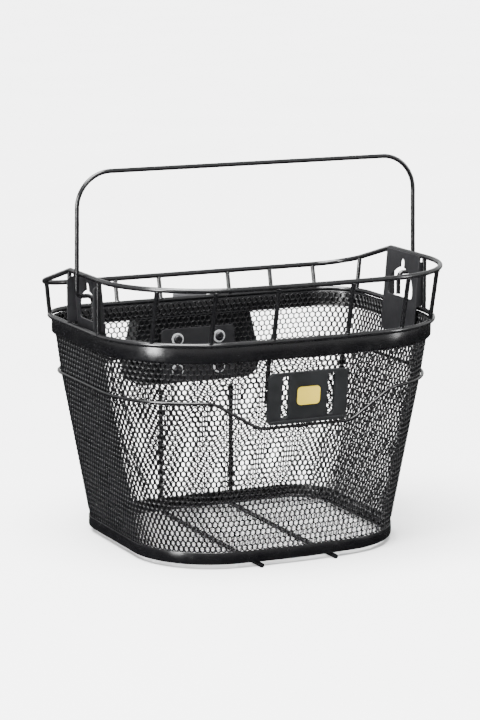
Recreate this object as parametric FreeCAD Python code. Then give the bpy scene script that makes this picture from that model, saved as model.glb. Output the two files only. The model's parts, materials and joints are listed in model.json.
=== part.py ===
import FreeCAD, Part
import math
import os

V = FreeCAD.Vector
os.makedirs("parts", exist_ok=True)

# Handlebar basket of expanded metal on a wire frame, with a folding carrying handle and a
# quick-release adapter at the back. Millimetres. X is across the bicycle; +X is the right-hand
# side seen from the front. The front is -Y, the handlebar side is +Y and +Z is up.
# Origin: on the surface the basket stands on, below the middle of its bounding box.

# Driving dimensions: wires
FRAME_WIRE_R = 2.5
POST_WIRE_R = 2.2
MID_WIRE_R = 1.6
RUNNER_WIRE_R = 2.25
BAIL_WIRE_R = 2.2

# Driving dimensions: the plan outlines. half is the half width, rear and front are the Y of the
# two ends on the centre plane, bow is how far the front bulges past its corners, rear_r and
# front_r are the corner radii.
SHEET = 1.5
RIM = dict(half=177.2, rear=128.4, front=-136.8, bow=16.0, rear_r=49.4, front_r=105.2)
RIM_Z = 225.0
RAIL = dict(half=177.0, rear=134.0, front=-148.5, bow=10.0, rear_r=40.0, front_r=104.0)
RAIL_FRONT_Z = 279.0
RAIL_REAR_Z = 250.0
WALL = [
    (6.0, dict(half=133.6, rear=123.2, front=-107.8, bow=17.0, rear_r=45.0, front_r=80.0)),
    (24.0, dict(half=138.4, rear=125.0, front=-111.2, bow=17.0, rear_r=46.0, front_r=84.0)),
    (168.0, dict(half=166.4, rear=125.0, front=-126.2, bow=18.0, rear_r=46.0, front_r=96.0)),
    (223.0, dict(half=174.0, rear=125.0, front=-133.6, bow=16.0, rear_r=46.0, front_r=102.0)),
]

# Bands round the rim and the base
RIM_BAND_Z = (207.0, 223.0)
RIM_BAND_STAND_OFF = 1.6
BASE_BAND_Z = (4.5, 17.0)
BASE_BAND_SHEET = 1.2
BASE_LIP_WIDTH = 8.0

# Middle wire, which dips below the front plate
MID_Z = 168.0
MID_DIP_Z = 139.7
MID_DIP_HALF = 49.0
MID_DIP_START = 104.0
MID_DIP_LEAD = 9.0
MID_BEND_R = 26.0
MID_STAND_OFF = 0.4

# Posts between the rim wire and the top rail
FRONT_POST_X = (-101.5, -39.3, 39.3, 101.5)
REAR_POST_X = (-138.0, -87.5, -39.0, 39.0, 87.5, 138.0)
FRONT_CORNER_POST_X = 149.0
REAR_CORNER_POST_Y = 99.0

# Side plates and the bail that turns in their windows
SIDE_Y = -1.5
PLATE_HALF_WIDTH = 34.0
PLATE_SHEET = 1.8
PLATE_Z = (196.0, 279.0)
PLATE_TOP_X = 174.5
PLATE_LEAN = math.atan(4.5 / 53.0)
PLATE_FLANGE_X = 181.0
PLATE_FLANGE_Z = (228.2, 273.0)
WINDOW_Z = 233.5
WINDOW_R = 25.0
WINDOW_STRAIGHT = 5.0
KEYHOLE_R = 4.0
KEYHOLE_TOP_Z = 272.0
BAIL_X = 184.2
BAIL_TOP_X = 182.5
BAIL_TOP_Z = 378.0
BAIL_CORNER_R = 35.0
BAIL_PIVOT_Z = 258.5
BAIL_HOOK_R = 6.0
BAIL_STUB_X = 167.5
BAIL_STUB_Z = 236.5

# Runner wires
RUNNER_X = 40.0
RUNNER_TOP_Z = 131.0
RUNNER_BEND_R = 5.0
RUNNER_NOSE = 4.0

# Front plate for a lamp
FRONT_PLATE_SIZE = (84.0, 4.0, 51.0)
FRONT_PLATE_GAP = 1.1
FRONT_PLATE_Z = 168.5
FRONT_PLATE_TILT = math.degrees(math.atan(0.12))
FRONT_SLOT_X = 24.2
FRONT_SLOT_R = 3.75
FRONT_SLOT_LENGTH = 42.0
FRONT_SCREW_X = 36.0
FRONT_SCREW_R = 1.5
FRONT_PAD = (11.0, 2.0, 13.0)
FRONT_PAD_GAP = 0.5
BADGE_SIZE = (24.0, 1.2, 18.0)

# Stay wires inside the mesh, between the rim band and the front plate
STAY_X = 39.3
STAY_Z = (176.5, 221.0)
STAY_GAP = 0.5

# Quick-release adapter and its clamp
BOLT_X = 23.5
BOLT_Z = (152.0, 184.0)
BOLT_R = 2.5
BOLT_HOLE_R = 2.8
BOLT_HEAD_R = 4.75
BOLT_HEAD_H = 2.75
BOLT_LENGTH = 25.0
WASHER_R = 6.5
WASHER_H = 1.0
CLAMP_SIZE = (83.0, 2.0, 57.0)
CLAMP_Z = 166.5
NUT_R = 4.6
NUT_H = 4.0
ADAPTER_Y = (130.0, 148.0)
ADAPTER_COVER = 3.0
ADAPTER_WALL = 3.0
ADAPTER_Z = (136.0, 221.5)
ADAPTER_CORNER_R = (18.0, 24.0, 14.0)
ADAPTER_TOP_HALF = 61.0
ADAPTER_WIDE_HALF = 75.0
ADAPTER_WIDE_Z = 160.0
ADAPTER_BOSS_R = 8.0
LATCH_HALF = 14.0
LATCH_Y = (140.0, 144.0)
LATCH_Z = (158.0, 214.0)
SPRING_SEAT_Z = 144.0
BUTTON_HALF = 18.0
BUTTON_Y = (138.5, 147.0)
BUTTON_TOP_Z = 229.0
SPRING_R = 4.0
SPRING_WIRE_R = 0.6
SPRING_TURNS = 5.0
HOOK_SLOT_X = 42.0
HOOK_SLOT_SIZE = (22.0, 9.0)
HOOK_SLOT_Z = 200.0
CATCH_SLOT_SIZE = (16.0, 18.0)
CATCH_SLOT_Z = 173.0
CATCH_NOSE_Z = (168.0, 173.0)
COVER_SCREWS = [(x, z) for x in (-52.0, 52.0) for z in (150.0, 184.0)]


def export(name, shape):
    """Writes one node."""
    shape.exportStep("parts/%s.step" % name)


def group(solids):
    """Identical pieces that share one node."""
    return Part.makeCompound(solids)


def mirrored(shape):
    """The same piece on the other side of the centre plane."""
    return shape.mirror(V(0, 0, 0), V(1, 0, 0))


def box(x, y, z):
    """A box between two X, two Y and two Z values."""
    return Part.makeBox(x[1] - x[0], y[1] - y[0], z[1] - z[0], V(x[0], y[0], z[0]))


def cylinder_y(radius, y, x, z):
    """A cylinder along Y between two Y values."""
    return Part.makeCylinder(radius, y[1] - y[0], V(x, y[0], z), V(0, 1, 0))


def rounded_plate(half_x, z, y, radius, x=0.0):
    """A plate in the XZ plane with rounded corners, between two Y values."""
    plate = box((x - half_x, x + half_x), y, z)
    edges = [e for e in plate.Edges if abs(e.tangentAt(e.FirstParameter).y) > 0.9]
    return plate.makeFillet(radius, edges)


# Plan outlines ---------------------------------------------------------------------------------


def grown(outline, by):
    """The same outline moved outwards by a distance, with its corners still concentric."""
    return dict(
        half=outline["half"] + by,
        rear=outline["rear"] + by,
        front=outline["front"] - by,
        bow=outline["bow"],
        rear_r=outline["rear_r"] + by,
        front_r=outline["front_r"] + by,
    )


def wall_outline(z):
    """The wall's outer outline at a height, between the listed sections."""
    for (low_z, low), (high_z, high) in zip(WALL, WALL[1:]):
        if z <= high_z:
            t = (z - low_z) / (high_z - low_z)
            return {key: low[key] + t * (high[key] - low[key]) for key in low}
    return dict(WALL[-1][1])


def bow_circle(outline):
    """The centre Y and the radius of the front's bow."""
    half = outline["half"]
    bow = outline["bow"]
    radius = (half * half + bow * bow) / (2 * bow)
    return outline["front"] + radius, radius


def corner_centre(outline):
    """The centre of the right front corner's arc, tangent to the side and to the bow."""
    centre_y, radius = bow_circle(outline)
    x = outline["half"] - outline["front_r"]
    reach = radius - outline["front_r"]
    return x, centre_y - math.sqrt(reach * reach - x * x)


def front_y(outline, x):
    """The outline's front at a distance from the centre plane, on the bow or on the corner."""
    centre_y, radius = bow_circle(outline)
    corner_x, corner_y = corner_centre(outline)
    meeting_x = corner_x * radius / (radius - outline["front_r"])
    if abs(x) <= meeting_x:
        return centre_y - math.sqrt(radius * radius - x * x)
    across = abs(x) - corner_x
    return corner_y - math.sqrt(outline["front_r"] ** 2 - across * across)


def rear_corner_y(outline, x):
    """The outline's back at a distance from the centre plane, on the run or on the corner."""
    across = abs(x) - (outline["half"] - outline["rear_r"])
    if across <= 0:
        return outline["rear"]
    return outline["rear"] - outline["rear_r"] + math.sqrt(outline["rear_r"] ** 2 - across * across)


def front_edges(outline, z):
    """Right half of the front: corner arc from the side, then the bow to the centre plane."""
    centre_y, radius = bow_circle(outline)
    corner_x, corner_y = corner_centre(outline)
    front_r = outline["front_r"]
    end = math.atan2(corner_y - centre_y, corner_x)
    middle = end / 2
    side_point = V(outline["half"], corner_y, z)
    corner_middle = V(
        corner_x + front_r * math.cos(middle), corner_y + front_r * math.sin(middle), z
    )
    corner_end = V(corner_x + front_r * math.cos(end), corner_y + front_r * math.sin(end), z)
    bow_middle_angle = (end - math.pi / 2) / 2
    bow_middle = V(
        radius * math.cos(bow_middle_angle), centre_y + radius * math.sin(bow_middle_angle), z
    )
    nose = V(0, outline["front"], z)
    return [
        Part.Arc(side_point, corner_middle, corner_end).toShape(),
        Part.Arc(corner_end, bow_middle, nose).toShape(),
    ]


def half_outline(outline, z):
    """Right half of a level outline, from the rear centre to the front centre."""
    half = outline["half"]
    rear = outline["rear"]
    rear_r = outline["rear_r"]
    diagonal = rear_r * math.sqrt(0.5)
    corner_y = corner_centre(outline)[1]
    points = [
        V(0, rear, z),
        V(half - rear_r, rear, z),
        V(half - rear_r + diagonal, rear - rear_r + diagonal, z),
        V(half, rear - rear_r, z),
        V(half, corner_y, z),
    ]
    return [
        Part.LineSegment(points[0], points[1]).toShape(),
        Part.Arc(points[1], points[2], points[3]).toShape(),
        Part.LineSegment(points[3], points[4]).toShape(),
    ] + front_edges(outline, z)


def closed_outline(outline, z):
    """The whole level outline as one closed wire."""
    right = half_outline(outline, z)
    left = [mirrored(edge) for edge in right]
    return Part.Wire(Part.__sortEdges__(right + left))


def slab(outline, z):
    """A solid with upright sides between two heights."""
    face = Part.Face(closed_outline(outline, z[0]))
    return face.extrude(V(0, 0, z[1] - z[0]))


# Bent wire -------------------------------------------------------------------------------------


def rounded_path(points, radii):
    """Straight runs joined by tangent arcs; radii has one radius for each inner point."""
    edges = []
    start = points[0]
    for before, corner, after, radius in zip(points, points[1:], points[2:], radii):
        incoming = (corner - before).normalize()
        outgoing = (after - corner).normalize()
        turn = incoming.getAngle(outgoing)
        reach = radius * math.tan(turn / 2)
        arc_start = corner - incoming * reach
        arc_end = corner + outgoing * reach
        inward = (outgoing - incoming).normalize()
        centre = corner + inward * (radius / math.cos(turn / 2))
        arc_middle = centre - inward * radius
        edges.append(Part.LineSegment(start, arc_start).toShape())
        edges.append(Part.Arc(arc_start, arc_middle, arc_end).toShape())
        start = arc_end
    edges.append(Part.LineSegment(start, points[-1]).toShape())
    return edges


def wire_solid(edges, radius):
    """A round wire swept along tangent edges, with flat ends."""
    path = Part.Wire(edges)
    first = edges[0]
    start = first.valueAt(first.FirstParameter)
    direction = first.tangentAt(first.FirstParameter)
    ring = Part.Wire(Part.Circle(start, direction, radius).toShape())
    return path.makePipeShell([ring], True, False)


def ring_solid(half_edges, radius):
    """A closed wire ring from its right half."""
    right = wire_solid(half_edges, radius)
    return right.fuse(mirrored(right)).removeSplitter()


def straight_wire(start, end, radius):
    """A straight length of wire."""
    run = end - start
    return Part.makeCylinder(radius, run.Length, start, run)


# Mesh basket -----------------------------------------------------------------------------------


def wall_mesh():
    """The expanded metal wall, as a closed sheet with the true outer shape."""
    outer = Part.makeLoft([closed_outline(o, z) for z, o in WALL], True, True)
    inner = Part.makeLoft([closed_outline(grown(o, -SHEET), z) for z, o in WALL], True, True)
    wall = outer.cut(inner)
    for x in (-BOLT_X, BOLT_X):
        for z in BOLT_Z:
            wall = wall.cut(cylinder_y(BOLT_HOLE_R, (110, 135), x, z))
    for x in (-FRONT_SCREW_X, FRONT_SCREW_X):
        wall = wall.cut(place_on_front(cylinder_y(FRONT_SCREW_R + 0.3, (-140, -115), x, FRONT_PLATE_Z)))
    return wall


def floor_mesh():
    """The expanded metal floor, resting on the base band's lip inside the wall."""
    low = BASE_BAND_Z[0] + BASE_BAND_SHEET
    return slab(grown(wall_outline(6.0), -SHEET - 0.3), (low, low + SHEET))


def rim_band():
    """The band round the top of the mesh; its top edge closes on the mesh."""
    outer = grown(wall_outline(RIM_BAND_Z[1]), RIM_BAND_STAND_OFF)
    low, high = RIM_BAND_Z
    return slab(outer, (low, high)).cut(slab(grown(outer, -SHEET), (low - 1, high + 1)))


def base_band():
    """The base band with a rounded foot and the inward lip that carries the floor."""
    low, high = BASE_BAND_Z
    inside = grown(wall_outline(high), 0.2)
    outer = grown(inside, BASE_BAND_SHEET)
    body = slab(outer, (low, high))
    foot = [e for e in body.Edges if abs(e.BoundBox.ZMax - low) < 0.01 and e.BoundBox.ZLength < 0.01]
    body = body.makeFillet(3.0, foot)
    hollow = slab(inside, (low, high + 1))
    hollow_foot = [
        e for e in hollow.Edges if abs(e.BoundBox.ZMax - low) < 0.01 and e.BoundBox.ZLength < 0.01
    ]
    hollow = hollow.makeFillet(2.0, hollow_foot)
    hollow.translate(V(0, 0, BASE_BAND_SHEET))
    opening = slab(grown(outer, -BASE_LIP_WIDTH), (low - 1, low + 5))
    return body.cut(hollow).cut(opening)


def mid_wire_point(x, z):
    """A point of the middle wire's centre line on the front of the mesh."""
    return V(x, front_y(grown(wall_outline(z), MID_WIRE_R + MID_STAND_OFF), x), z)


def mid_wire():
    """The wire round the middle, level at the sides and dipping below the front plate."""
    level = grown(wall_outline(MID_Z), MID_WIRE_R + MID_STAND_OFF)
    rear_run, rear_corner, side_run = half_outline(level, MID_Z)[:3]
    corner_x, corner_y = corner_centre(level)
    turn = math.acos((MID_DIP_START - corner_x) / level["front_r"])
    middle = V(
        corner_x + level["front_r"] * math.cos(turn / 2),
        corner_y - level["front_r"] * math.sin(turn / 2),
        MID_Z,
    )
    dip_start = mid_wire_point(MID_DIP_START, MID_Z)
    front_corner = Part.Arc(V(level["half"], corner_y, MID_Z), middle, dip_start).toShape()
    bend = dip_start + V(-math.sin(turn), -math.cos(turn), 0) * MID_DIP_LEAD
    low = mid_wire_point(0.0, MID_DIP_Z)
    points = [dip_start, bend, V(MID_DIP_HALF, low.y, MID_DIP_Z), low]
    dip = rounded_path(points, [MID_BEND_R, MID_BEND_R])
    edges = [rear_run, rear_corner, side_run, front_corner] + dip
    return ring_solid(edges, MID_WIRE_R)


def top_rail():
    """The top rail: level over the plates and the front, falling to the lower rear run."""
    half = RAIL["half"]
    corner_y = corner_centre(RAIL)[1]
    peak_y = SIDE_Y + PLATE_HALF_WIDTH
    points = [
        V(0, RAIL["rear"], RAIL_REAR_Z),
        V(half, RAIL["rear"], RAIL_REAR_Z),
        V(half, peak_y, RAIL_FRONT_Z),
        V(half, corner_y, RAIL_FRONT_Z),
    ]
    edges = rounded_path(points, [RAIL["rear_r"], 12.0]) + front_edges(RAIL, RAIL_FRONT_Z)
    return ring_solid(edges, FRAME_WIRE_R)


def post(foot, head, rail, rim):
    """An upright wire cut to sit on the rim wire and under the rail."""
    return straight_wire(foot, head, POST_WIRE_R).cut(rim).cut(rail)


def rail_side_z(y):
    """The height of the rail's centre line on its sloping side run."""
    peak_y = SIDE_Y + PLATE_HALF_WIDTH
    t = (y - peak_y) / (RAIL["rear"] - peak_y)
    return RAIL_FRONT_Z + max(t, 0.0) * (RAIL_REAR_Z - RAIL_FRONT_Z)


def runner_wire():
    """The right runner: down the back, under the floor and out past the front of the base."""
    rear_y = wall_outline(BASE_BAND_Z[1])["rear"] + 0.2 + BASE_BAND_SHEET + RUNNER_WIRE_R
    base = grown(wall_outline(BASE_BAND_Z[1]), 0.2 + BASE_BAND_SHEET)
    nose_y = front_y(base, RUNNER_X) - RUNNER_NOSE
    points = [
        V(RUNNER_X, rear_y, RUNNER_TOP_Z),
        V(RUNNER_X, rear_y, RUNNER_WIRE_R),
        V(RUNNER_X, nose_y, RUNNER_WIRE_R),
    ]
    return wire_solid(rounded_path(points, [RUNNER_BEND_R]), RUNNER_WIRE_R)


# Side plates and bail --------------------------------------------------------------------------


def side_plate():
    """The right side plate: a leaning web with outward flanges and a keyhole window."""
    low, high = PLATE_Z
    y = (SIDE_Y - PLATE_HALF_WIDTH, SIDE_Y + PLATE_HALF_WIDTH)
    web_x = (PLATE_TOP_X - PLATE_SHEET, PLATE_TOP_X)
    web = box(web_x, y, (low, high))
    corners = [
        e
        for e in web.Edges
        if abs(e.tangentAt(e.FirstParameter).x) > 0.9 and e.BoundBox.ZMax < low + 1
    ]
    web = web.makeFillet(6.0, corners)
    arch_z = WINDOW_Z + WINDOW_STRAIGHT
    through = (PLATE_TOP_X - 10.0, PLATE_TOP_X + 1.0)
    window_y = (SIDE_Y - WINDOW_R, SIDE_Y + WINDOW_R)
    arch = Part.makeCylinder(WINDOW_R, 11.0, V(through[0], SIDE_Y, arch_z), V(1, 0, 0))
    arch = arch.common(box(through, window_y, (arch_z, arch_z + WINDOW_R)))
    sill = rounded_sill(through, window_y, arch_z)
    slot_top = KEYHOLE_TOP_Z - KEYHOLE_R
    slot_y = (SIDE_Y - KEYHOLE_R, SIDE_Y + KEYHOLE_R)
    slot = box(through, slot_y, (arch_z + WINDOW_R - 2.0, slot_top))
    slot = slot.fuse(Part.makeCylinder(KEYHOLE_R, 11.0, V(through[0], SIDE_Y, slot_top), V(1, 0, 0)))
    plate = web.cut(arch).cut(sill).cut(slot)
    plate.rotate(V(PLATE_TOP_X, 0, high), V(0, 1, 0), math.degrees(PLATE_LEAN))
    for start in (y[0], y[1] - PLATE_SHEET):
        plate = plate.fuse(side_flange(start))
    return plate.removeSplitter()


def side_flange(start_y):
    """An upright flange of the side plate, from the leaning web out to its straight edge."""
    low, high = PLATE_FLANGE_Z
    slope = math.tan(PLATE_LEAN)
    low_x = PLATE_TOP_X - (PLATE_Z[1] - low) * slope - 0.8
    high_x = PLATE_TOP_X - (PLATE_Z[1] - high) * slope - 0.8
    corners = [
        V(low_x, start_y, low),
        V(PLATE_FLANGE_X - 3.0, start_y, low),
        V(PLATE_FLANGE_X, start_y, low + 3.0),
        V(PLATE_FLANGE_X, start_y, high - 3.0),
        V(PLATE_FLANGE_X - 3.0, start_y, high),
        V(high_x, start_y, high),
        V(low_x, start_y, low),
    ]
    return Part.Face(Part.makePolygon(corners)).extrude(V(0, PLATE_SHEET, 0))


def rounded_sill(x, y, top):
    """The straight lower part of the window, with rounded lower corners."""
    sill = box(x, y, (WINDOW_Z, top))
    corners = [
        e
        for e in sill.Edges
        if abs(e.tangentAt(e.FirstParameter).x) > 0.9 and e.BoundBox.ZMax < WINDOW_Z + 0.1
    ]
    return sill.makeFillet(3.0, corners)


def bail_handle():
    """The carrying handle: one bent wire whose ends pass in through the windows and turn down."""
    right = [
        V(BAIL_STUB_X, SIDE_Y, BAIL_STUB_Z),
        V(BAIL_STUB_X, SIDE_Y, BAIL_PIVOT_Z),
        V(BAIL_X, SIDE_Y, BAIL_PIVOT_Z),
        V(BAIL_TOP_X, SIDE_Y, BAIL_TOP_Z),
        V(0, SIDE_Y, BAIL_TOP_Z),
    ]
    edges = rounded_path(right, [BAIL_HOOK_R, BAIL_HOOK_R, BAIL_CORNER_R])
    return ring_solid(edges, BAIL_WIRE_R)


# Front plate -----------------------------------------------------------------------------------


def place_on_front(shape):
    """Tilts a piece made upright at the front plate's place to the slope of the wall."""
    y = wall_outline(FRONT_PLATE_Z)["front"]
    shape.rotate(V(0, y, FRONT_PLATE_Z), V(1, 0, 0), FRONT_PLATE_TILT)
    return shape


def front_plate():
    """The moulded lamp plate with two upright slots, ribs round them and a lower lip."""
    width, depth, height = FRONT_PLATE_SIZE
    back = wall_outline(FRONT_PLATE_Z)["front"] - FRONT_PLATE_GAP
    front = back - depth
    z = (FRONT_PLATE_Z - height / 2, FRONT_PLATE_Z + height / 2)
    plate = rounded_plate(width / 2, z, (front, back), 5.0)
    lip = rounded_plate(width / 2 - 3.0, (z[0] + 1.0, z[0] + 4.0), (front - 2.0, front + 1.0), 1.0)
    plate = plate.fuse(lip)
    half_run = FRONT_SLOT_LENGTH / 2
    slot_z = (FRONT_PLATE_Z - half_run + 1.5, FRONT_PLATE_Z + half_run + 1.5)
    for x in (-FRONT_SLOT_X, FRONT_SLOT_X):
        slot = rounded_plate(FRONT_SLOT_R, slot_z, (front - 5, back + 5), FRONT_SLOT_R - 0.2, x)
        plate = plate.cut(slot)
    for x in (-FRONT_SCREW_X, FRONT_SCREW_X):
        plate = plate.cut(cylinder_y(FRONT_SCREW_R, (front + 1.2, back + 5), x, FRONT_PLATE_Z))
    return place_on_front(plate)


def badge():
    """A plain raised panel in the middle of the front plate."""
    width, depth, height = BADGE_SIZE
    front = wall_outline(FRONT_PLATE_Z)["front"] - FRONT_PLATE_GAP - FRONT_PLATE_SIZE[1]
    z = (FRONT_PLATE_Z - height / 2 + 2.0, FRONT_PLATE_Z + height / 2 + 2.0)
    return place_on_front(rounded_plate(width / 2, z, (front - depth, front), 4.0))


def front_pad_y():
    """The two faces of the pads inside the mesh, before they are tilted."""
    inner = front_y(wall_outline(FRONT_PLATE_Z), FRONT_SCREW_X) + SHEET + FRONT_PAD_GAP
    return inner, inner + FRONT_PAD[1]


def front_pads():
    """The pads inside the mesh that clamp it against the front plate."""
    width, _, height = FRONT_PAD
    z = (FRONT_PLATE_Z - height / 2, FRONT_PLATE_Z + height / 2)
    pads = []
    for x in (-FRONT_SCREW_X, FRONT_SCREW_X):
        pad = rounded_plate(width / 2, z, front_pad_y(), 2.0, x)
        pad = pad.cut(cylinder_y(FRONT_SCREW_R + 0.1, (-140, -100), x, FRONT_PLATE_Z))
        pads.append(place_on_front(pad))
    return pads


def plate_stay():
    """The right stay wire inside the mesh, from behind the rim band down to the pad."""
    ends = []
    for z in STAY_Z:
        inner = front_y(wall_outline(z), STAY_X) + SHEET
        ends.append(V(STAY_X, inner + STAY_GAP + POST_WIRE_R, z))
    return straight_wire(ends[0], ends[1], POST_WIRE_R)


def front_screws():
    """Two screws from inside the basket, through the pads and the mesh into the front plate."""
    head_y = front_pad_y()[1]
    tip_y = wall_outline(FRONT_PLATE_Z)["front"] - FRONT_PLATE_GAP - FRONT_PLATE_SIZE[1] + 1.4
    screws = []
    for x in (-FRONT_SCREW_X, FRONT_SCREW_X):
        head = cylinder_y(2.9, (head_y, head_y + 1.8), x, FRONT_PLATE_Z)
        rim = [e for e in head.Edges if e.BoundBox.YMin > head_y + 1.7]
        head = head.makeFillet(0.8, rim)
        drive_y = (head_y + 0.9, head_y + 3)
        drive = box((x - 1.8, x + 1.8), drive_y, (FRONT_PLATE_Z - 0.3, FRONT_PLATE_Z + 0.3))
        cross = box((x - 0.3, x + 0.3), drive_y, (FRONT_PLATE_Z - 1.8, FRONT_PLATE_Z + 1.8))
        shank = cylinder_y(FRONT_SCREW_R, (tip_y, head_y + 0.3), x, FRONT_PLATE_Z)
        screws.append(place_on_front(head.fuse(shank).cut(drive).cut(cross)))
    return screws


# Quick-release adapter -------------------------------------------------------------------------


def adapter_outline(shrink, y):
    """The adapter's rounded outline, widest low down, as a closed wire at one Y."""
    low = ADAPTER_Z[0] + shrink
    high = ADAPTER_Z[1] - shrink
    wide = ADAPTER_WIDE_HALF - shrink
    top = ADAPTER_TOP_HALF - shrink
    points = [
        V(0, y, low),
        V(wide, y, low),
        V(wide, y, ADAPTER_WIDE_Z),
        V(top, y, high),
        V(0, y, high),
    ]
    right = rounded_path(points, [radius - shrink for radius in ADAPTER_CORNER_R])
    left = [mirrored(edge) for edge in right]
    return Part.Wire(Part.__sortEdges__(right + left))


def adapter_block(shrink, y):
    """The adapter's outline as a solid between two Y values."""
    return Part.Face(adapter_outline(shrink, y[0])).extrude(V(0, y[1] - y[0], 0))


def adapter_housing():
    """The moulded housing, open at the back, with four bolt bosses that reach the mesh."""
    front, back = ADAPTER_Y
    bevel = adapter_outline(2.0, front), adapter_outline(0.0, front + 2.0)
    housing = Part.makeLoft(list(bevel), True, True)
    housing = housing.fuse(adapter_block(0.0, (front + 2.0, back)))
    floor_y = front + ADAPTER_WALL
    housing = housing.cut(adapter_block(ADAPTER_WALL, (floor_y, back + 1.0)))
    for x in (-BOLT_X, BOLT_X):
        for z in BOLT_Z:
            housing = housing.fuse(cylinder_y(ADAPTER_BOSS_R, (125.0, 141.5), x, z))
    for x, z in COVER_SCREWS:
        housing = housing.fuse(cylinder_y(4.0, (floor_y - 0.5, back), x, z))
    button_gap = box((-BUTTON_HALF - 0.4, BUTTON_HALF + 0.4), (BUTTON_Y[0] - 0.4, back + 1), (215, 225))
    housing = housing.cut(button_gap)
    seat = box((-8.0, 8.0), (floor_y - 0.5, back), (ADAPTER_Z[0] + 1.0, SPRING_SEAT_Z))
    housing = housing.fuse(seat)
    for x in (-BOLT_X, BOLT_X):
        for z in BOLT_Z:
            housing = housing.cut(cylinder_y(BOLT_HOLE_R, (120.0, 150.0), x, z))
            housing = housing.cut(hexagon(NUT_R + 0.15, (137.5, 150.0), x, z))
    for x, z in COVER_SCREWS:
        housing = housing.cut(cylinder_y(1.25, (floor_y + 1.0, back + 1), x, z))
    return housing.removeSplitter()


def hexagon(radius, y, x, z):
    """A hexagonal prism along Y."""
    corners = [
        V(x + radius * math.cos(k * math.pi / 3), y[0], z + radius * math.sin(k * math.pi / 3))
        for k in range(7)
    ]
    return Part.Face(Part.makePolygon(corners)).extrude(V(0, y[1] - y[0], 0))


def adapter_cover():
    """The back plate that hooks on the handlebar bracket: two hook slots and a catch window."""
    back = ADAPTER_Y[1]
    outer = back + ADAPTER_COVER
    bevel = adapter_outline(0.0, outer - 1.2), adapter_outline(1.2, outer)
    cover = adapter_block(0.0, (back, outer - 1.2)).fuse(Part.makeLoft(list(bevel), True, True))
    y = (back - 1, outer + 1)
    width, height = HOOK_SLOT_SIZE
    for x in (-HOOK_SLOT_X, HOOK_SLOT_X):
        end = (width - height) / 2
        z = (HOOK_SLOT_Z - height / 2, HOOK_SLOT_Z + height / 2)
        cover = cover.cut(box((x - end, x + end), y, z))
        for round_end in (x - end, x + end):
            cover = cover.cut(cylinder_y(height / 2, y, round_end, HOOK_SLOT_Z))
    width, height = CATCH_SLOT_SIZE
    z = (CATCH_SLOT_Z - height / 2, CATCH_SLOT_Z + height / 2)
    cover = cover.cut(rounded_plate(width / 2, z, y, 2.0))
    for x, z in COVER_SCREWS:
        cover = cover.cut(cylinder_y(1.7, y, x, z))
        cover = cover.cut(cylinder_y(3.3, (outer - 1.6, outer + 1), x, z))
    return cover


def latch_plate():
    """The sliding catch, with a sloped nose behind the catch window."""
    plate = box((-LATCH_HALF, LATCH_HALF), LATCH_Y, LATCH_Z)
    nose_low, nose_top = CATCH_NOSE_Z
    profile = [
        V(-6.5, LATCH_Y[1], nose_top),
        V(-6.5, LATCH_Y[1] + 6.5, nose_top),
        V(-6.5, LATCH_Y[1] + 6.5, nose_top - 1.5),
        V(-6.5, LATCH_Y[1], nose_low),
        V(-6.5, LATCH_Y[1], nose_top),
    ]
    nose = Part.Face(Part.makePolygon(profile)).extrude(V(13.0, 0, 0))
    spigot = Part.makeCylinder(2.6, 6.0, V(0, (LATCH_Y[0] + LATCH_Y[1]) / 2, LATCH_Z[0] - 6.0))
    spigot = spigot.common(box((-5, 5), LATCH_Y, (LATCH_Z[0] - 7, LATCH_Z[0])))
    return plate.fuse(nose).fuse(spigot).removeSplitter()


def release_button():
    """The press button on top of the catch, with finger ridges."""
    button = box((-BUTTON_HALF, BUTTON_HALF), BUTTON_Y, (LATCH_Z[1], BUTTON_TOP_Z))
    top = [
        e
        for e in button.Edges
        if abs(e.BoundBox.ZMin - BUTTON_TOP_Z) < 0.01 or e.BoundBox.ZLength > 10
    ]
    button = button.makeFillet(1.8, top)
    middle_y = (BUTTON_Y[0] + BUTTON_Y[1]) / 2
    for k in range(-3, 4):
        ridge = Part.makeCylinder(0.7, 5.0, V(4.0 * k, middle_y - 2.5, BUTTON_TOP_Z), V(0, 1, 0))
        button = button.fuse(ridge)
    return button.removeSplitter()


def latch_spring():
    """The compression spring between the housing's seat and the catch."""
    height = LATCH_Z[0] - SPRING_SEAT_Z
    free_run = height - 2 * SPRING_WIRE_R - 0.1
    centre = V(0, (LATCH_Y[0] + LATCH_Y[1]) / 2, SPRING_SEAT_Z + SPRING_WIRE_R + 0.05)
    helix = Part.makeHelix(free_run / SPRING_TURNS, free_run, SPRING_R)
    ring = Part.Wire(Part.Circle(V(SPRING_R, 0, 0), V(0, 1, 0), SPRING_WIRE_R).toShape())
    spring = Part.Wire(helix).makePipeShell([ring], True, True)
    spring.translate(centre)
    return spring


def clamp_plate():
    """The steel plate inside the basket that spreads the four bolts' load."""
    width, depth, height = CLAMP_SIZE
    inner = WALL[-1][1]["rear"] - SHEET
    z = (CLAMP_Z - height / 2, CLAMP_Z + height / 2)
    plate = rounded_plate(width / 2, z, (inner - depth, inner), 4.0)
    for x in (-BOLT_X, BOLT_X):
        for bolt_z in BOLT_Z:
            plate = plate.cut(cylinder_y(BOLT_HOLE_R, (inner - 5, inner + 5), x, bolt_z))
    return plate


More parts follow.
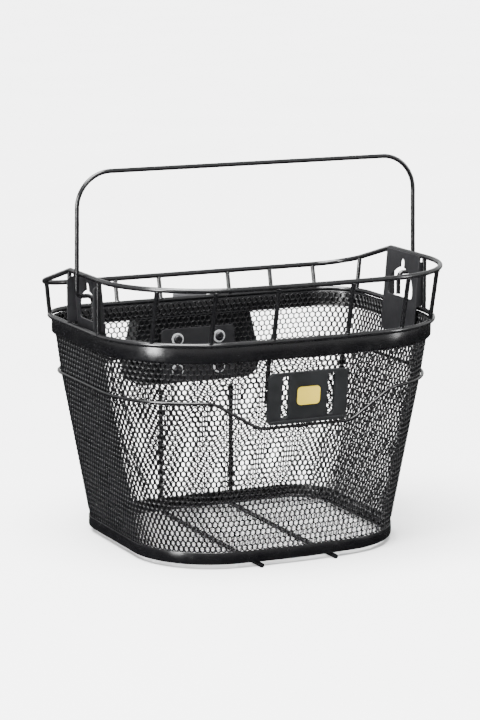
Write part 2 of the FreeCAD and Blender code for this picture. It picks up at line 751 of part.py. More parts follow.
def clamp_fasteners():
    """The bolts, washers and nuts of the four clamp points."""
    washer_back = WALL[-1][1]["rear"] - SHEET - CLAMP_SIZE[1]
    head_back = washer_back - WASHER_H
    bolts = []
    washers = []
    nuts = []
    for x in (-BOLT_X, BOLT_X):
        for z in BOLT_Z:
            head = cylinder_y(BOLT_HEAD_R, (head_back - BOLT_HEAD_H, head_back), x, z)
            front_rim = [e for e in head.Edges if e.BoundBox.YMax < head_back - BOLT_HEAD_H + 0.01]
            head = head.makeFillet(1.9, front_rim)
            head = head.cut(hexagon(1.75, (head_back - 4, head_back - 1.2), x, z))
            shank = cylinder_y(BOLT_R, (head_back - 0.5, head_back + BOLT_LENGTH), x, z)
            bolts.append(head.fuse(shank).removeSplitter())
            washer = cylinder_y(WASHER_R, (head_back, washer_back), x, z)
            washers.append(washer.cut(cylinder_y(BOLT_R + 0.1, (110, 130), x, z)))
            nut = hexagon(NUT_R, (137.5, 137.5 + NUT_H), x, z)
            nuts.append(nut.cut(cylinder_y(BOLT_R + 0.05, (130, 150), x, z)))
    return bolts, washers, nuts


def cover_screws():
    """Countersunk-level pan screws that hold the adapter's cover on its housing."""
    outer = ADAPTER_Y[1] + ADAPTER_COVER
    screws = []
    for x, z in COVER_SCREWS:
        head = cylinder_y(3.0, (outer - 1.6, outer), x, z)
        shank = cylinder_y(1.25, (outer - 12.0, outer - 1.6), x, z)
        drive = box((x - 2.0, x + 2.0), (outer - 0.7, outer + 1), (z - 0.4, z + 0.4))
        cross = box((x - 0.4, x + 0.4), (outer - 0.7, outer + 1), (z - 2.0, z + 2.0))
        screws.append(head.fuse(shank).cut(drive).cut(cross))
    return screws


# Build -----------------------------------------------------------------------------------------

rim_wire = ring_solid(half_outline(RIM, RIM_Z), FRAME_WIRE_R)
rail = top_rail()
plate_right = side_plate()

export("rim_wire", rim_wire)
export("top_rail", rail)
export("wall_mesh", wall_mesh())
export("floor_mesh", floor_mesh())
export("rim_band", rim_band())
export("base_band", base_band())
export("mid_wire", mid_wire())
export("side_plate_right", plate_right)
export("side_plate_left", mirrored(plate_right))
export("bail_handle", bail_handle())

for number, x in enumerate(FRONT_POST_X, 1):
    foot = V(x, front_y(RIM, x), RIM_Z)
    head = V(x, front_y(RAIL, x), RAIL_FRONT_Z)
    export("front_post_%d" % number, post(foot, head, rail, rim_wire))
for number, x in enumerate(REAR_POST_X, 1):
    foot = V(x, rear_corner_y(RIM, x), RIM_Z)
    head = V(x, rear_corner_y(RAIL, x), RAIL_REAR_Z)
    export("rear_post_%d" % number, post(foot, head, rail, rim_wire))

corner_foot = V(FRONT_CORNER_POST_X, front_y(RIM, FRONT_CORNER_POST_X), RIM_Z)
corner_head = V(FRONT_CORNER_POST_X, front_y(RAIL, FRONT_CORNER_POST_X), RAIL_FRONT_Z)
front_corner_post = post(corner_foot, corner_head, rail, rim_wire)
export("front_corner_post_right", front_corner_post)
export("front_corner_post_left", mirrored(front_corner_post))

rear_corner_across = REAR_CORNER_POST_Y - (RIM["rear"] - RIM["rear_r"])
rear_corner_x = RIM["half"] - RIM["rear_r"] + math.sqrt(RIM["rear_r"] ** 2 - rear_corner_across**2)
rear_corner_post = post(
    V(rear_corner_x, REAR_CORNER_POST_Y, RIM_Z),
    V(RAIL["half"] - 0.6, REAR_CORNER_POST_Y, rail_side_z(REAR_CORNER_POST_Y)),
    rail,
    rim_wire,
)
export("rear_corner_post_right", rear_corner_post)
export("rear_corner_post_left", mirrored(rear_corner_post))

for end, offset in (("front", -1), ("rear", 1)):
    y = SIDE_Y + offset * (PLATE_HALF_WIDTH + POST_WIRE_R + 0.3)
    foot = V(RIM["half"], y, RIM_Z)
    head = V(RAIL["half"], y, rail_side_z(y))
    side_post = post(foot, head, rail, rim_wire)
    export("side_post_%s_right" % end, side_post)
    export("side_post_%s_left" % end, mirrored(side_post))

runner = runner_wire()
export("runner_wire_right", runner)
export("runner_wire_left", mirrored(runner))

export("front_plate", front_plate())
export("front_badge", badge())
export("front_plate_screws", group(front_screws()))
export("front_plate_pads", group(front_pads()))
stay = plate_stay()
export("plate_stay_right", stay)
export("plate_stay_left", mirrored(stay))

export("clamp_plate", clamp_plate())
bolts, washers, nuts = clamp_fasteners()
export("clamp_bolts", group(bolts))
export("clamp_washers", group(washers))
export("clamp_nuts", group(nuts))
export("adapter_housing", adapter_housing())
export("adapter_cover", adapter_cover())
export("adapter_cover_screws", group(cover_screws()))
export("latch_plate", latch_plate())
export("release_button", release_button())
export("latch_spring", latch_spring())
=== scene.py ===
import json
import math

import bmesh
import bpy
import numpy as np
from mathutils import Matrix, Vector


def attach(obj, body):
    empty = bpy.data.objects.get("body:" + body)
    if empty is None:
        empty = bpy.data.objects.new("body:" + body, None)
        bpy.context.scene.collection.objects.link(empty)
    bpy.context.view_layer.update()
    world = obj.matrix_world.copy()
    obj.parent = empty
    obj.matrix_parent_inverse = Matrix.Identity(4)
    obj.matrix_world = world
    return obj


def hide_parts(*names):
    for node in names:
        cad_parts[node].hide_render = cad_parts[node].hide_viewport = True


# Handlebar basket, visual model. Lengths here are in millimetres until a mesh is made; Blender's
# objects are in metres. X is across, -Y is the front, +Y the handlebar side, +Z is up.

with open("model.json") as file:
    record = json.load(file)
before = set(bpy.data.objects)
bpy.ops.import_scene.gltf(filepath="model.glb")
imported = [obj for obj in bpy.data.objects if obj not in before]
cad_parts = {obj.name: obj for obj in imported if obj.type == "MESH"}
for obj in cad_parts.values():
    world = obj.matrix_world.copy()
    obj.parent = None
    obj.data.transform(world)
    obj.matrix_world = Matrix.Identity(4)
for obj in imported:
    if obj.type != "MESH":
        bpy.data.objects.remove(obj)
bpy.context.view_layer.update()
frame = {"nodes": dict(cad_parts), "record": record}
nodes = frame["nodes"]
MM = 0.001

# Plan outlines: half width, rear and front Y on the centre plane, the front's bow, corner radii
KEYS = ("half", "rear", "front", "bow", "rear_r", "front_r")
WALL_Z = (6.0, 24.0, 168.0, 223.0)
WALL = dict(
    half=(133.6, 138.4, 166.4, 174.0),
    rear=(123.2, 125.0, 125.0, 125.0),
    front=(-107.8, -111.2, -126.2, -133.6),
    bow=(17.0, 17.0, 18.0, 16.0),
    rear_r=(45.0, 46.0, 46.0, 46.0),
    front_r=(80.0, 84.0, 96.0, 102.0),
)
RIM = dict(half=177.2, rear=128.4, front=-136.8, bow=16.0, rear_r=49.4, front_r=105.2)
RAIL = dict(half=177.0, rear=134.0, front=-148.5, bow=10.0, rear_r=40.0, front_r=104.0)
RIM_Z = 225.0
RAIL_FRONT_Z = 279.0
RAIL_REAR_Z = 250.0

# Expanded metal: the lattice, the strands' widths, how far they lean and half their thickness
SHEET = 1.5
PITCH = 5.8
ROW = 5.1
BOND_WIDTH = 1.9
STRAND_WIDTH = 1.25
WALL_PIECES = 4
WALL_ROWS = 42
WALL_FIRST_Z = 9.6
WALL_TILT = (-0.7, 0.0)
WALL_CROWN = 0.45
FLOOR_COLUMNS = (-26, 26)
FLOOR_ROWS = (-26, 28)
FLOOR_GAP = 0.3
FLOOR_MARGIN = 0.5
FLOOR_MIDDLE_Z = 6.45
FLOOR_TILT = (0.0, 0.14)
FLOOR_CROWN = 0.22

# An opening's corners, eased towards its middle, as shares of the sharp-cornered shape, and the
# thickness left along its edge as a share of the crown
SHOULDER_EASE = 0.92
EDGE_EASE = 0.99
PEAK_EASE = 0.955
EDGE_SHARE = 0.45
RING_POINTS = 12

# Each band's cross-section as arcs: the centre outwards from the wall and its Z, the radius, the
# start and end in degrees and the number of points. They run from the top edge down the inside,
# round the foot and up the outside
RIM_BAND_ARCS = (
    ((0.85, 222.25), 0.75, 0, 180, 6),
    ((-0.7, 209.4), 0.8, 0, -90, 6),
    ((-1.0, 207.8), 0.8, 90, 270, 6),
    ((-1.0, 209.6), 2.6, -90, 0, 9),
)
BASE_BAND_ARCS = (
    ((0.8, 16.4), 0.6, 0, 180, 6),
    ((-1.8, 7.7), 2.0, 0, -90, 7),
    ((-5.9, 5.1), 0.6, 90, 270, 6),
    ((-1.6, 7.5), 3.0, -90, 0, 10),
)
RIM_BAND_OUTLINE_Z = 223.0
BASE_BAND_OUTLINE_Z = 17.0
BAND_STEPS = 720

# Plates whose edges are rounded, with how far the rounding reaches in from each edge
EDGE_WIDTHS = dict(
    front_plate=0.5,
    clamp_plate=0.4,
    adapter_cover=0.4,
    adapter_housing=0.4,
    side_plate_right=0.35,
    side_plate_left=0.35,
)
MERGE_M = 2e-6
FLAT_ANGLE = math.radians(0.5)
SHARP_ANGLE = math.radians(40)
SHADE_ANGLE = math.radians(50)

# Weld beads at the posts' ends: the posts' X, and the beads' lift from the wire's middle, radius
# across and radius upwards, and how uneven they are
FRONT_POST_X = (39.3, 101.5, 149.0)
REAR_POST_X = (39.0, 87.5, 138.0)
BEAD_LIFT = 2.1
BEAD_SIZE = (2.9, 1.2)
BEAD_SWELL = 0.05
BEAD_SEED = 7

# Stage, in metres, watts and degrees: each softbox's place, target, size and power
SOFTBOXES = dict(
    left_softbox=((-2.2, -0.9, 0.55), (0, 0, 0.18), (0.5, 1.1), 90),
    front_softbox=((-0.6, -2.6, 1.5), (0, 0, 0.2), (0.9, 0.3), 25),
    right_softbox=((1.9, -1.4, 0.7), (0, 0, 0.2), (0.3, 1.2), 22),
)
SUN_STRENGTH = 17.0
SUN_WIDTH = 50
SUN_DIRECTION = (0.25, 0.15, -1.0)
GROUND_STRENGTH = 0.06
SKY_STRENGTH = 1.0
HORIZON = (-0.06, 0.0)
STAGE_SIZE = 80
STAGE_PLACE = (0, 20, 0)
CAMERA_PLACE = (-1.1495, -2.4034, 0.6875)
CAMERA_TARGET = (0.00107, 0.0230, 0.1772)
CAMERA_LENS_MM = 136.2
CAMERA_SENSOR_MM = 36.0


# Outlines --------------------------------------------------------------------------------------


def wall_outline(z):
    """The wall's outer outline at each height in an array."""
    return {key: np.interp(z, WALL_Z, WALL[key]) for key in KEYS}


def grown(outline, by):
    """The same outline moved outwards by a distance."""
    return dict(
        half=outline["half"] + by,
        rear=outline["rear"] + by,
        front=outline["front"] - by,
        bow=outline["bow"],
        rear_r=outline["rear_r"] + by,
        front_r=outline["front_r"] + by,
    )


def outline_parts(outline):
    """Lengths and centres of the right half's five runs, from the rear centre to the front."""
    half, rear, front = outline["half"], outline["rear"], outline["front"]
    bow, rear_r, front_r = outline["bow"], outline["rear_r"], outline["front_r"]
    bow_r = (half * half + bow * bow) / (2 * bow)
    bow_y = front + bow_r
    corner_x = half - front_r
    corner_y = bow_y - np.sqrt((bow_r - front_r) ** 2 - corner_x**2)
    end = np.arctan2(corner_y - bow_y, corner_x)
    lengths = [
        half - rear_r,
        rear_r * math.pi / 2,
        rear - rear_r - corner_y,
        front_r * -end,
        bow_r * (math.pi / 2 + end),
    ]
    return lengths, bow_r, bow_y, corner_x, corner_y, end


def outline_point(outline, t):
    """X and Y at a fraction of the way round, 0 at the rear centre, 1 at the front centre, 2 again
    at the rear; rising t passes the right side first."""
    t = np.mod(t, 2.0)
    side = np.where(t > 1.0, -1.0, 1.0)
    t = np.where(t > 1.0, 2.0 - t, t)
    lengths, bow_r, bow_y, corner_x, corner_y, end = outline_parts(outline)
    half, rear, rear_r = outline["half"], outline["rear"], outline["rear_r"]
    front_r = outline["front_r"]
    s = t * sum(lengths)
    ends = np.cumsum(np.array([np.broadcast_to(n, s.shape) for n in lengths]), axis=0)
    rear_turn = math.pi / 2 - (s - ends[0]) / rear_r
    corner_turn = -(s - ends[2]) / front_r
    bow_turn = end - (s - ends[3]) / bow_r
    x = np.select(
        [s <= ends[0], s <= ends[1], s <= ends[2], s <= ends[3]],
        [
            s,
            half - rear_r + rear_r * np.cos(rear_turn),
            half + 0 * s,
            corner_x + front_r * np.cos(corner_turn),
        ],
        bow_r * np.cos(bow_turn),
    )
    y = np.select(
        [s <= ends[0], s <= ends[1], s <= ends[2], s <= ends[3]],
        [
            rear + 0 * s,
            rear - rear_r + rear_r * np.sin(rear_turn),
            rear - rear_r - (s - ends[1]),
            corner_y + front_r * np.sin(corner_turn),
        ],
        bow_y + bow_r * np.sin(bow_turn),
    )
    return side * x, y


def perimeter(z):
    """The outer outline's length at a height."""
    return 2 * float(sum(outline_parts(wall_outline(z))[0]))


def wall_point(t, z, depth):
    """A point of the wall, at a depth inwards from the outer face."""
    step_t, step_z = 1e-4, 0.05
    x, y = outline_point(wall_outline(z), t)
    ahead_x, ahead_y = outline_point(wall_outline(z), t + step_t)
    high_x, high_y = outline_point(wall_outline(z + step_z), t)
    along = np.stack([ahead_x - x, ahead_y - y, 0 * x], axis=-1)
    up = np.stack([high_x - x, high_y - y, step_z + 0 * x], axis=-1)
    normal = np.cross(up, along)
    normal /= np.linalg.norm(normal, axis=-1, keepdims=True)
    return np.stack([x, y, z], axis=-1) - normal * np.asarray(depth)[..., None]


# Mesh making -----------------------------------------------------------------------------------


def mesh_object(name, points, faces, material):
    """A smooth mesh object from points in millimetres."""
    mesh = bpy.data.meshes.new(name)
    points = np.asarray(points, np.float32) * MM
    faces = np.asarray(faces, np.int32)
    corners = faces.shape[1]
    mesh.vertices.add(len(points))
    mesh.vertices.foreach_set("co", points.ravel())
    mesh.loops.add(faces.size)
    mesh.loops.foreach_set("vertex_index", faces.ravel())
    mesh.polygons.add(len(faces))
    mesh.polygons.foreach_set("loop_start", np.arange(len(faces), dtype=np.int32) * corners)
    mesh.polygons.foreach_set("use_smooth", np.full(len(faces), True))
    mesh.update(calc_edges=True)
    mesh.validate()
    mesh.materials.append(material)
    piece = bpy.data.objects.new(name, mesh)
    bpy.context.scene.collection.objects.link(piece)
    return piece


def outward(outline, t):
    """The outline's points and outward directions, as complex numbers."""
    ahead_x, ahead_y = outline_point(outline, t + 1e-4)
    behind_x, behind_y = outline_point(outline, t - 1e-4)
    x, y = outline_point(outline, t)
    run = (ahead_x - behind_x) + 1j * (ahead_y - behind_y)
    return x + 1j * y, 1j * run / abs(run)


def swept_band(name, outline, profile, material):
    """A closed cross-section of (outward, z) points carried round an outline."""
    at, out = outward(outline, np.linspace(0, 2, BAND_STEPS, endpoint=False))
    profile = np.array(profile)
    place = at[:, None] + out[:, None] * profile[None, :, 0]
    z = np.broadcast_to(profile[None, :, 1], place.shape)
    points = np.stack([place.real, place.imag, z], axis=-1).reshape(-1, 3)
    index = np.arange(len(points)).reshape(BAND_STEPS, len(profile))
    ahead = np.roll(index, -1, axis=0)
    corners = [index, np.roll(index, -1, axis=1), np.roll(ahead, -1, axis=1), ahead]
    return mesh_object(name, points, np.stack(corners, axis=-1).reshape(-1, 4), material)


def section(arcs):
    """A cross-section from arcs laid end to end, without repeated points."""
    points = []
    for centre, radius, start, end, steps in arcs:
        angles = np.radians(np.linspace(start, end, steps))
        run = [(centre[0] + radius * math.cos(a), centre[1] + radius * math.sin(a)) for a in angles]
        if points and math.dist(points[-1], run[0]) < 1e-6:
            points.pop()
        points += run
    return points


def blobs(name, places, material, seed):
    """Small uneven weld beads; each place is a point, a radius across and a radius upwards."""
    bm = bmesh.new()
    bmesh.ops.create_icosphere(bm, subdivisions=3, radius=1.0)
    ball = np.array([v.co[:] for v in bm.verts])
    faces = np.array([[v.index for v in f.verts] for f in bm.faces])
    bm.free()
    rng = np.random.default_rng(seed)
    points = []
    for place, across, upwards in places:
        turn = rng.uniform(0, 2 * math.pi, 3)
        waves = np.sin(ball[:, 0] * 4 + turn[0]) + np.sin(ball[:, 1] * 5 + turn[1])
        swell = 1 + BEAD_SWELL * (waves + np.sin(ball[:, 2] * 6 + turn[2]))
        points.append(np.array(place) + ball * swell[:, None] * [across, across, upwards])
    count = len(places)
    all_faces = [faces + k * len(ball) for k in range(count)]
    return mesh_object(name, np.concatenate(points), np.concatenate(all_faces), material)


def outline_y(outline, x, end):
    """The outline's Y at an X on either side, at its front (1) or its rear (0) end."""
    t = np.linspace(0, 0.45, 2000) if end == 0 else np.linspace(1, 0.55, 2000)
    at_x, at_y = outline_point(outline, t)
    return float(np.interp(abs(x), at_x, at_y))


def carried(piece, slot, *replaced):
    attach(piece, "basket")
    for node in replaced:
        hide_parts(node)


def cell_ring():
    """One cell of the expanded metal: twelve points of its border and of its opening."""
    top = ROW * 2 / 3
    half = PITCH / 2
    across = np.array([2, 2, 1, 0, -1, -2, -2, -2, -1, 0, 1, 2])
    upward = np.array([0, 2, 3, 4, 3, 2, 0, -2, -3, -4, -3, -2])
    border = np.stack([across * half / 2, upward * top / 4], axis=-1)
    slope = math.atan2(top / 2, half)
    inset = STRAND_WIDTH / 2 / math.cos(slope)
    side = half - BOND_WIDTH / 2
    peak = top - inset
    shoulder = top - inset - side * math.tan(slope)
    quarter = [
        (side, 0.0),
        (side * SHOULDER_EASE, shoulder * SHOULDER_EASE),
        (side / 2, (peak + shoulder) / 2 * EDGE_EASE),
        (0.0, peak * PEAK_EASE),
    ]
    upper = quarter + [(-x, y) for x, y in quarter[2::-1]]
    lower = [(-x, -y) for x, y in upper[1:6]]
    return across, upward, border, np.array(upper + lower)


def expanded_metal(name, columns, rows, place, keep, tilt, crown, material):
    """Expanded metal over a lattice of cells. place takes points across and up the lattice and a
    height from the middle of the sheet; keep says which cells are wanted; tilt is how far the
    strands lean out of the sheet at the right and at the top of an opening; crown is half the
    strands' thickness."""
    across, upward, border, opening = cell_ring()
    i, j = np.meshgrid(np.arange(*columns), np.arange(*rows), indexing="ij")
    i, j = i.ravel(), j.ravel()
    wanted = keep(i, j)
    i, j = i[wanted], j[wanted]
    centre_u = (i + 0.5 * (j % 2)) * PITCH
    centre_v = j * ROW
    unit_u = (4 * i + 2 * (j % 2))[:, None] + across[None, :]
    unit_v = (6 * j)[:, None] + upward[None, :]
    keys = np.stack([unit_u.ravel(), unit_v.ravel()], axis=-1)
    shared, first, index = np.unique(keys, axis=0, return_index=True, return_inverse=True)
    index = index.reshape(unit_u.shape)
    border_u = (centre_u[:, None] + border[None, :, 0]).ravel()[first]
    border_v = (centre_v[:, None] + border[None, :, 1]).ravel()[first]
    open_u = (centre_u[:, None] + opening[None, :, 0]).ravel()
    open_v = (centre_v[:, None] + opening[None, :, 1]).ravel()
    reach = opening / opening.max(axis=0)
    lean = np.tile(reach @ np.array(tilt), len(i))
    points = np.concatenate(
        [
            place(border_u, border_v, crown + 0 * border_u),
            place(open_u, open_v, lean + crown * EDGE_SHARE),
            place(open_u, open_v, lean - crown * EDGE_SHARE),
            place(border_u, border_v, 0 * border_u - crown),
        ]
    )
    count_b, count_o = len(shared), len(open_u)
    ring = np.arange(count_o).reshape(len(i), RING_POINTS)
    layers = [index, count_b + ring, count_b + count_o + ring, count_b + 2 * count_o + index]
    faces = []
    for low, high in zip(layers, layers[1:]):
        ahead_low, ahead_high = np.roll(low, -1, axis=1), np.roll(high, -1, axis=1)
        faces.append(np.stack([low, high, ahead_high, ahead_low], axis=-1).reshape(-1, 4))
    front, front_next = index.ravel(), np.roll(index, -1, axis=1).ravel()
    pairs = np.sort(np.stack([front, front_next], axis=-1), axis=1)
    _, where, counts = np.unique(pairs, axis=0, return_inverse=True, return_counts=True)
    edge = counts[where.ravel()] == 1
    back = count_b + 2 * count_o
    a, b = front[edge], front_next[edge]
    faces.append(np.stack([a, b, b + back, a + back], axis=-1))
    return mesh_object(name, points, np.concatenate(faces), material)


# Materials -------------------------------------------------------------------------------------

# The middle part of a noise, which is stretched over a range
NOISE_LOW = 0.3
NOISE_HIGH = 0.7


class Finish:
    """A material's node tree, with short calls for the nodes used here."""

    def __init__(self, name, **constants):
        self.material = bpy.data.materials.new(name)
        self.material.use_nodes = True
        self.tree = self.material.node_tree
        self.shader = self.tree.nodes["Principled BSDF"]
        for socket, value in constants.items():
            self.shader.inputs[socket.replace("_", " ")].default_value = value
        self.place = self.tree.nodes.new("ShaderNodeTexCoord").outputs["Object"]

    def node(self, kind, **values):
        node = self.tree.nodes.new(kind)
        for key, value in values.items():
            setattr(node, key, value)
        return node

    def link(self, source, target):
        self.tree.links.new(source, target)

    def noise(self, scale, detail=2.0, roughness=0.5):
        """Noise over the object, its scale in features to the metre."""
        noise = self.node("ShaderNodeTexNoise")
        noise.inputs["Scale"].default_value = scale
        noise.inputs["Detail"].default_value = detail
        noise.inputs["Roughness"].default_value = roughness
        self.link(self.place, noise.inputs["Vector"])
        return noise.outputs["Fac"]

    def spread(self, value, low, high):
        """A noise's middle values mapped to a range."""
        spread = self.node("ShaderNodeMapRange")
        spread.inputs["From Min"].default_value = NOISE_LOW
        spread.inputs["From Max"].default_value = NOISE_HIGH
        spread.inputs["To Min"].default_value = low
        spread.inputs["To Max"].default_value = high
        self.link(value, spread.inputs["Value"])
        return spread.outputs["Result"]

    def blend(self, value, low, high):
        """A colour between two, by a noise's middle values."""
        ramp = self.node("ShaderNodeValToRGB")
        ramp.color_ramp.elements[0].position = NOISE_LOW
        ramp.color_ramp.elements[1].position = NOISE_HIGH
        ramp.color_ramp.elements[0].color = (*low, 1)
        ramp.color_ramp.elements[1].color = (*high, 1)
        self.link(value, ramp.inputs["Fac"])
        return ramp.outputs["Color"]

    def bump(self, height, strength, distance, before=None):
        """A bump from a height, on top of an earlier one if given."""
        bump = self.node("ShaderNodeBump")
        bump.inputs["Strength"].default_value = strength
        bump.inputs["Distance"].default_value = distance
        self.link(height, bump.inputs["Height"])
        if before is not None:
            self.link(before, bump.inputs["Normal"])
        return bump.outputs["Normal"]

    def soft_edges(self, radius):
        """A normal that rounds the piece's edges, for the first of the bumps."""
        bevel = self.node("ShaderNodeBevel", samples=4)
        bevel.inputs["Radius"].default_value = radius
        return bevel.outputs["Normal"]

    def set(self, socket, value):
        self.link(value, self.shader.inputs[socket])


def powder_coat(name, low, high, roughness, grain, shine, edge=None):
    """Black powder coat: a fine orange peel, with its gloss uneven over about a centimetre."""
    finish = Finish(name, Specular_IOR_Level=shine)
    finish.set("Base Color", finish.blend(finish.noise(45.0, 3.0), low, high))
    rough = finish.noise(110.0, 4.0, 0.6)
    finish.set("Roughness", finish.spread(rough, roughness - 0.06, roughness + 0.08))
    soft = finish.soft_edges(edge) if edge else None
    peel = finish.bump(finish.noise(900.0, 2.0), grain, 0.0002, soft)
    finish.set("Normal", finish.bump(finish.noise(2600.0, 1.0), grain * 0.6, 0.00005, peel))
    return finish.material


def moulded(name, low, high, roughness, grain):
    """Moulded plastic with a fine spark-eroded grain and softened edges."""
    finish = Finish(name, Specular_IOR_Level=0.35)
    finish.set("Base Color", finish.blend(finish.noise(60.0, 3.0), low, high))
    rough = finish.noise(300.0, 3.0)
    finish.set("Roughness", finish.spread(rough, roughness - 0.05, roughness + 0.07))
    fine = finish.bump(finish.noise(3200.0, 2.0), grain, 0.0001, finish.soft_edges(0.0007))
    finish.set("Normal", finish.bump(finish.noise(30.0, 1.0), 0.05, 0.002, fine))
    return finish.material


def zinc(name):
    """Zinc-plated steel with a mottled passivation."""
    finish = Finish(name, Metallic=0.55)
    mottle = finish.noise(700.0, 4.0, 0.65)
    finish.set("Base Color", finish.blend(mottle, (0.5, 0.51, 0.52), (0.68, 0.69, 0.7)))
    finish.set("Roughness", finish.spread(finish.noise(1500.0, 3.0), 0.22, 0.42))
    finish.set("Normal", finish.bump(mottle, 0.08, 0.0001))
    return finish.material


FINISHES = dict(
    wire_coat=powder_coat(
        "wire_coat",
        low=(0.002, 0.002, 0.0024),
        high=(0.004, 0.004, 0.0045),
        roughness=0.2,
        grain=0.08,
        shine=0.6,
    ),
    mesh_coat=powder_coat(
        "mesh_coat",
        low=(0.0022, 0.0022, 0.0026),
        high=(0.0045, 0.0045, 0.005),
        roughness=0.28,
        grain=0.1,
        shine=0.4,
    ),
    band_coat=powder_coat(
        "band_coat",
        low=(0.0015, 0.0015, 0.002),
        high=(0.003, 0.003, 0.0034),
        roughness=0.2,
        grain=0.03,
        shine=0.42,
    ),
    plate_coat=powder_coat(
        "plate_coat",
        low=(0.006, 0.006, 0.007),
        high=(0.01, 0.01, 0.011),
        roughness=0.4,
        grain=0.12,
        shine=0.34,
        edge=0.0005,
    ),
    black_steel=powder_coat(
        "black_steel",
        low=(0.004, 0.004, 0.005),
        high=(0.008, 0.008, 0.009),
        roughness=0.3,
        grain=0.08,
        shine=0.4,
        edge=0.0003,
    ),
    black_plastic=moulded(
        "black_plastic",
        low=(0.004, 0.0045, 0.005),
        high=(0.007, 0.0075, 0.0085),
        roughness=0.42,
        grain=0.18,
    ),
    grey_plastic=moulded(
        "grey_plastic",
        low=(0.08, 0.08, 0.085),
        high=(0.11, 0.11, 0.115),
        roughness=0.5,
        grain=0.2,
    ),
    badge_yellow=moulded(
        "badge_yellow",
        low=(0.3, 0.225, 0.012),
        high=(0.34, 0.255, 0.02),
        roughness=0.32,
        grain=0.05,
    ),
    zinc_steel=zinc("zinc_steel"),
)
SLOTS = {part["node"]: part["material_slot"] for part in frame["record"]["subparts"]}

for name, node in nodes.items():
    node.data.materials.clear()
    node.data.materials.append(FINISHES[SLOTS[name]])

# Expanded metal --------------------------------------------------------------------------------

# Cells round the wall: their pitch is PITCH at the wall's mean length round
COLUMNS = round(np.mean([perimeter(z) for z in np.linspace(10, 220, 15)]) / PITCH)


def on_wall(u, v, height):
    """A lattice point of the wall; height is outwards from the middle of the sheet."""
    return wall_point(2 * u / (COLUMNS * PITCH), WALL_FIRST_Z + v, SHEET / 2 - height)


def every_cell(i, j):
    """Keeps the whole lattice."""
    return np.full(i.shape, True)


for number in range(WALL_PIECES):
    start = round(COLUMNS * number / WALL_PIECES)
    end = round(COLUMNS * (number + 1) / WALL_PIECES)
    wall = expanded_metal(
        "expanded_wall_%d" % (number + 1),
        (start, end),
        (0, WALL_ROWS),
        on_wall,
        every_cell,
        WALL_TILT,
        WALL_CROWN,
        FINISHES["mesh_coat"],
    )
    carried(wall, "mesh_coat", "wall_mesh")

FLOOR = grown(wall_outline(np.array(WALL_Z[0])), -SHEET - FLOOR_GAP)


def floor_limit(angle):
    """How far the floor reaches from its middle at each angle."""
    x, y = outline_point(FLOOR, np.linspace(0, 2, 2001))
    around = np.arctan2(y, x)
    order = np.argsort(around)
    reach = np.hypot(x, y)[order]
    return np.interp(angle, around[order], reach, period=2 * math.pi)


def on_floor(u, v, height):
    """A lattice point of the floor, held inside its edge. X runs against the lattice, which keeps
    the faces turned outwards."""
    reach = np.hypot(u, v)
    allowed = floor_limit(np.arctan2(v, u))
    scale = np.minimum(1.0, allowed / np.maximum(reach, 1e-6))
    return np.stack([-u * scale, v * scale, FLOOR_MIDDLE_Z + height], axis=-1)


def floor_keeps(i, j):
    """Cells whose middle is inside the floor's edge by a margin."""
    u = (i + 0.5 * (j % 2)) * PITCH
    v = j * ROW
    return np.hypot(u, v) < floor_limit(np.arctan2(v, u)) - FLOOR_MARGIN


floor_piece = expanded_metal(
    "expanded_floor",
    FLOOR_COLUMNS,
    FLOOR_ROWS,
    on_floor,
    floor_keeps,
    FLOOR_TILT,
    FLOOR_CROWN,
    FINISHES["mesh_coat"],
)
carried(floor_piece, "mesh_coat", "floor_mesh")

# Bands -----------------------------------------------------------------------------------------

rim_piece = swept_band(
    "rolled_rim_band",
    wall_outline(np.array(RIM_BAND_OUTLINE_Z)),
    section(RIM_BAND_ARCS),
    FINISHES["band_coat"],
)
carried(rim_piece, "band_coat", "rim_band")

base_piece = swept_band(
    "rolled_base_band",
    wall_outline(np.array(BASE_BAND_OUTLINE_Z)),
    section(BASE_BAND_ARCS),
    FINISHES["band_coat"],
)
carried(base_piece, "band_coat", "base_band")

# Plates with softened edges --------------------------------------------------------------------


def softened(name, width):
    """A copy of a CAD node with its sharp edges rounded, which takes the node's place."""
    bm = bmesh.new()
    bm.from_mesh(nodes[name].data)
    bm.transform(nodes[name].matrix_world)
    bmesh.ops.remove_doubles(bm, verts=bm.verts, dist=MERGE_M)
    bmesh.ops.dissolve_limit(bm, angle_limit=FLAT_ANGLE, verts=bm.verts, edges=bm.edges)
    sharp = [e for e in bm.edges if e.is_manifold and e.calc_face_angle(0.0) > SHARP_ANGLE]
    bmesh.ops.bevel(
        bm,
        geom=sharp,
        offset=width * MM,
        segments=3,
        profile=0.5,
        affect="EDGES",
        clamp_overlap=True,
    )
    bmesh.ops.triangulate(bm, faces=bm.faces)
    mesh = bpy.data.meshes.new("soft_" + name)
    bm.to_mesh(mesh)
    bm.free()
    mesh.polygons.foreach_set("use_smooth", np.full(len(mesh.polygons), True))
    mesh.set_sharp_from_angle(angle=SHADE_ANGLE)
    mesh.materials.append(FINISHES[SLOTS[name]])
    piece = bpy.data.objects.new("soft_" + name, mesh)
    bpy.context.scene.collection.objects.link(piece)
    normals = piece.modifiers.new("flat_faces", "WEIGHTED_NORMAL")
    normals.keep_sharp = True
    carried(piece, SLOTS[name], name)


for name, width in EDGE_WIDTHS.items():
    softened(name, width)

# Weld beads ------------------------------------------------------------------------------------


def post_beads(x, end, rail_z):
    """The beads at a post's foot and head; end is 1 at the front and 0 at the rear."""
    foot = (x, outline_y(RIM, x, end), RIM_Z + BEAD_LIFT)
    head = (x, outline_y(RAIL, x, end), rail_z - BEAD_LIFT)
    return [(foot, *BEAD_SIZE), (head, *BEAD_SIZE)]


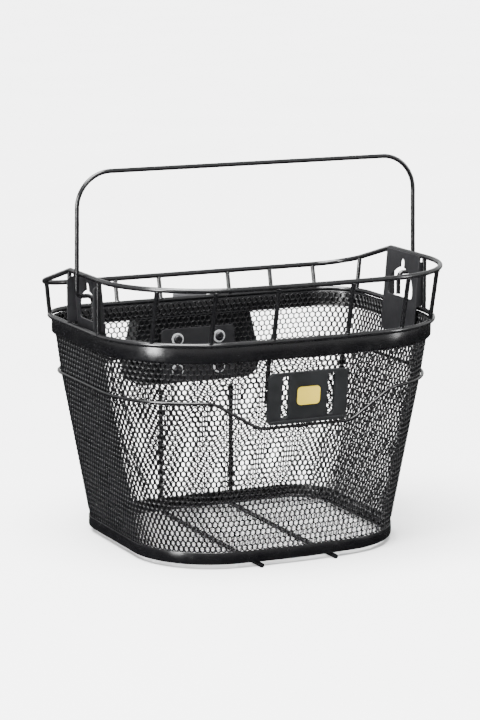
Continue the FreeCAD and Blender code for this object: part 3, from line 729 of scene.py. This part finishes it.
beads = []
for side in (-1, 1):
    for x in FRONT_POST_X:
        beads += post_beads(side * x, 1, RAIL_FRONT_Z)
    for x in REAR_POST_X:
        beads += post_beads(side * x, 0, RAIL_REAR_Z)
bead_piece = blobs("weld_beads", beads, FINISHES["wire_coat"], BEAD_SEED)
carried(bead_piece, "wire_coat")

# Stage -----------------------------------------------------------------------------------------


def area_light(name, place, target, size, power):
    """A soft rectangular light aimed at a point."""
    data = bpy.data.lights.new(name, "AREA")
    data.shape = "RECTANGLE"
    data.size, data.size_y = size
    data.energy = power
    light = bpy.data.objects.new(name, data)
    bpy.context.scene.collection.objects.link(light)
    light.location = place
    aim = Vector(target) - Vector(place)
    light.rotation_euler = aim.to_track_quat("-Z", "Y").to_euler()


floor_finish = Finish("studio_floor", Roughness=0.9)
floor_finish.set(
    "Base Color", floor_finish.blend(floor_finish.noise(3.0), (0.9, 0.9, 0.9), (0.93, 0.93, 0.93))
)
bpy.ops.mesh.primitive_plane_add(size=STAGE_SIZE, location=STAGE_PLACE)
studio_floor = bpy.context.object
studio_floor.name = "studio_floor"
studio_floor.data.materials.append(floor_finish.material)
studio_floor.visible_glossy = False

world = bpy.data.worlds.new("studio")
bpy.context.scene.world = world
world.use_nodes = True
background = world.node_tree.nodes["Background"]
background.inputs["Color"].default_value = (1.0, 1.0, 1.0, 1)
direction = world.node_tree.nodes.new("ShaderNodeTexCoord")
upwards = world.node_tree.nodes.new("ShaderNodeSeparateXYZ")
horizon = world.node_tree.nodes.new("ShaderNodeMapRange")
horizon.inputs["From Min"].default_value = HORIZON[0]
horizon.inputs["From Max"].default_value = HORIZON[1]
horizon.inputs["To Min"].default_value = GROUND_STRENGTH
horizon.inputs["To Max"].default_value = SKY_STRENGTH
world.node_tree.links.new(direction.outputs["Generated"], upwards.inputs["Vector"])
world.node_tree.links.new(upwards.outputs["Z"], horizon.inputs["Value"])
world.node_tree.links.new(horizon.outputs["Result"], background.inputs["Strength"])

sun_data = bpy.data.lights.new("overhead", "SUN")
sun_data.energy = SUN_STRENGTH
sun_data.angle = math.radians(SUN_WIDTH)
sun = bpy.data.objects.new("overhead", sun_data)
bpy.context.scene.collection.objects.link(sun)
sun.rotation_euler = Vector(SUN_DIRECTION).to_track_quat("-Z", "Y").to_euler()

for name, (place, target, size, power) in SOFTBOXES.items():
    area_light(name, place, target, size, power)

camera_data = bpy.data.cameras.new("camera")
camera_data.sensor_fit = "VERTICAL"
camera_data.sensor_height = CAMERA_SENSOR_MM
camera_data.lens = CAMERA_LENS_MM
camera = bpy.data.objects.new("camera", camera_data)
bpy.context.scene.collection.objects.link(camera)
camera.location = CAMERA_PLACE
aim = Vector(CAMERA_TARGET) - camera.location
camera.rotation_euler = aim.to_track_quat("-Z", "Y").to_euler()
bpy.context.scene.camera = camera
